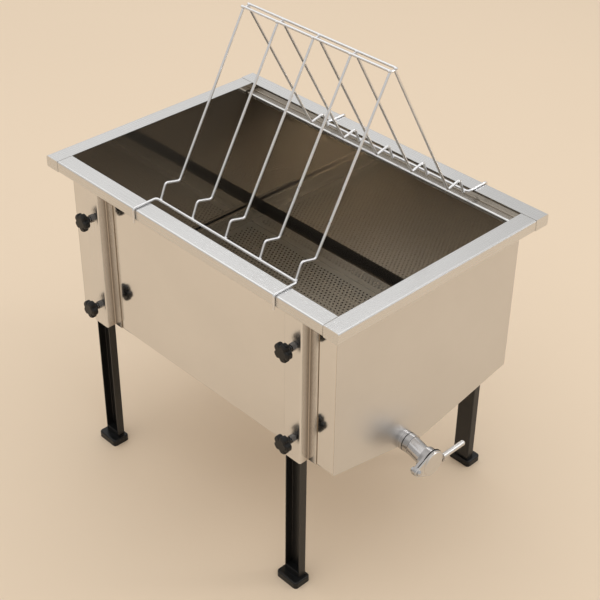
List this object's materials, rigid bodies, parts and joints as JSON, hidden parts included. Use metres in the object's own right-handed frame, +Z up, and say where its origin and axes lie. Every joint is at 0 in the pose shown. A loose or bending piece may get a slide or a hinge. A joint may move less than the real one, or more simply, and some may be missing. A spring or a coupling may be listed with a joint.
{
  "type": "uncapping tank",
  "caption": "Open stainless tank on clamped adjustable legs, with a lift-out straining tray, a wire rack hooked over its rim and a flap outlet gate, for uncapping honeycomb.",
  "frame": {"origin": "on the floor under the middle of the overall length and width", "axes": "+X along the tank towards the outlet gate, +Y across the tank, +Z up"},
  "size_m": [0.8654, 0.5924, 1.0059],
  "materials": {
    "stainless": "bright cold-rolled sheet",
    "stainless_satin": "satin sheet",
    "wire": "drawn wire",
    "polished": "polished casting",
    "zinc": "zinc plated",
    "black_tube": "satin black powder coat",
    "black_plastic": "satin black moulding",
    "rubber": "matt black"
  },
  "bodies": {
    "tank": {"tub_wrap": "stainless", "gate_end_wall": "stainless_satin", "back_end_wall": "stainless_satin", "near_rim": "stainless", "far_rim": "stainless", "gate_rim": "stainless", "back_rim": "stainless", "near_ledge": "stainless", "far_ledge": "stainless", "sleeve_near_gate": "stainless_satin", "sleeve_near_back": "stainless_satin", "sleeve_far_gate": "stainless_satin", "sleeve_far_back": "stainless_satin", "weld_nuts": "zinc", "outlet_sump": "stainless", "outlet_stub": "polished", "gate_gasket": "rubber", "gate_body": "polished", "flap_seal": "rubber", "pivot_bolt": "zinc", "pivot_washer": "zinc", "pivot_nut": "zinc"},
    "leg_near_gate": {"leg_near_gate": "black_tube", "foot_near_gate": "black_plastic"},
    "leg_near_back": {"leg_near_back": "black_tube", "foot_near_back": "black_plastic"},
    "leg_far_gate": {"leg_far_gate": "black_tube", "foot_far_gate": "black_plastic"},
    "leg_far_back": {"leg_far_back": "black_tube", "foot_far_back": "black_plastic"},
    "clamp_near_gate_upper": {"knob_near_gate_upper": "black_plastic", "stud_near_gate_upper": "zinc"},
    "clamp_near_gate_lower": {"knob_near_gate_lower": "black_plastic", "stud_near_gate_lower": "zinc"},
    "clamp_near_back_upper": {"knob_near_back_upper": "black_plastic", "stud_near_back_upper": "zinc"},
    "clamp_near_back_lower": {"knob_near_back_lower": "black_plastic", "stud_near_back_lower": "zinc"},
    "clamp_far_gate_upper": {"knob_far_gate_upper": "black_plastic", "stud_far_gate_upper": "zinc"},
    "clamp_far_gate_lower": {"knob_far_gate_lower": "black_plastic", "stud_far_gate_lower": "zinc"},
    "clamp_far_back_upper": {"knob_far_back_upper": "black_plastic", "stud_far_back_upper": "zinc"},
    "clamp_far_back_lower": {"knob_far_back_lower": "black_plastic", "stud_far_back_lower": "zinc"},
    "flap": {"gate_flap": "polished"},
    "sieve": {"sieve_frame": "stainless", "sieve_plate": "stainless"},
    "rack": {"rack_near_rail": "wire", "rack_far_rail": "wire", "rack_near_ridge": "wire", "rack_far_ridge": "wire", "rack_wire_1": "wire", "rack_wire_2": "wire", "rack_wire_3": "wire", "rack_wire_4": "wire", "rack_wire_5": "wire"}
  },
  "joints": [
    {"name": "leg_near_gate_slide", "type": "slide", "parent": "tank", "child": "leg_near_gate", "axis": [0, 0, -1], "range_m": [0, 0.2]},
    {"name": "leg_near_back_slide", "type": "slide", "parent": "tank", "child": "leg_near_back", "axis": [0, 0, -1], "range_m": [0, 0.2]},
    {"name": "leg_far_gate_slide", "type": "slide", "parent": "tank", "child": "leg_far_gate", "axis": [0, 0, -1], "range_m": [0, 0.2]},
    {"name": "leg_far_back_slide", "type": "slide", "parent": "tank", "child": "leg_far_back", "axis": [0, 0, -1], "range_m": [0, 0.2]},
    {"name": "clamp_near_gate_upper_turn", "type": "hinge", "parent": "tank", "child": "clamp_near_gate_upper", "pos_m": [0.26875, -0.2747, 0.577], "axis": [0, -1, 0], "range_deg": [0, 360]},
    {"name": "clamp_near_gate_lower_turn", "type": "hinge", "parent": "tank", "child": "clamp_near_gate_lower", "pos_m": [0.26875, -0.2747, 0.367], "axis": [0, -1, 0], "range_deg": [0, 360]},
    {"name": "clamp_near_back_upper_turn", "type": "hinge", "parent": "tank", "child": "clamp_near_back_upper", "pos_m": [-0.31125, -0.2747, 0.577], "axis": [0, -1, 0], "range_deg": [0, 360]},
    {"name": "clamp_near_back_lower_turn", "type": "hinge", "parent": "tank", "child": "clamp_near_back_lower", "pos_m": [-0.31125, -0.2747, 0.367], "axis": [0, -1, 0], "range_deg": [0, 360]},
    {"name": "clamp_far_gate_upper_turn", "type": "hinge", "parent": "tank", "child": "clamp_far_gate_upper", "pos_m": [0.26875, 0.2747, 0.577], "axis": [0, 1, 0], "range_deg": [0, 360]},
    {"name": "clamp_far_gate_lower_turn", "type": "hinge", "parent": "tank", "child": "clamp_far_gate_lower", "pos_m": [0.26875, 0.2747, 0.367], "axis": [0, 1, 0], "range_deg": [0, 360]},
    {"name": "clamp_far_back_upper_turn", "type": "hinge", "parent": "tank", "child": "clamp_far_back_upper", "pos_m": [-0.31125, 0.2747, 0.577], "axis": [0, 1, 0], "range_deg": [0, 360]},
    {"name": "clamp_far_back_lower_turn", "type": "hinge", "parent": "tank", "child": "clamp_far_back_lower", "pos_m": [-0.31125, 0.2747, 0.367], "axis": [0, 1, 0], "range_deg": [0, 360]},
    {"name": "flap_swing", "type": "hinge", "parent": "tank", "child": "flap", "pos_m": [0.42475, -0.089, 0.27685], "axis": [1, 0, 0], "range_deg": [0, 90]},
    {"name": "sieve_lift", "type": "slide", "parent": "tank", "child": "sieve", "axis": [0, 0, 1], "range_m": [0, 0.29]},
    {"name": "rack_lift", "type": "slide", "parent": "tank", "child": "rack", "axis": [0, 0, 1], "range_m": [0, 0.2]}
  ]
}
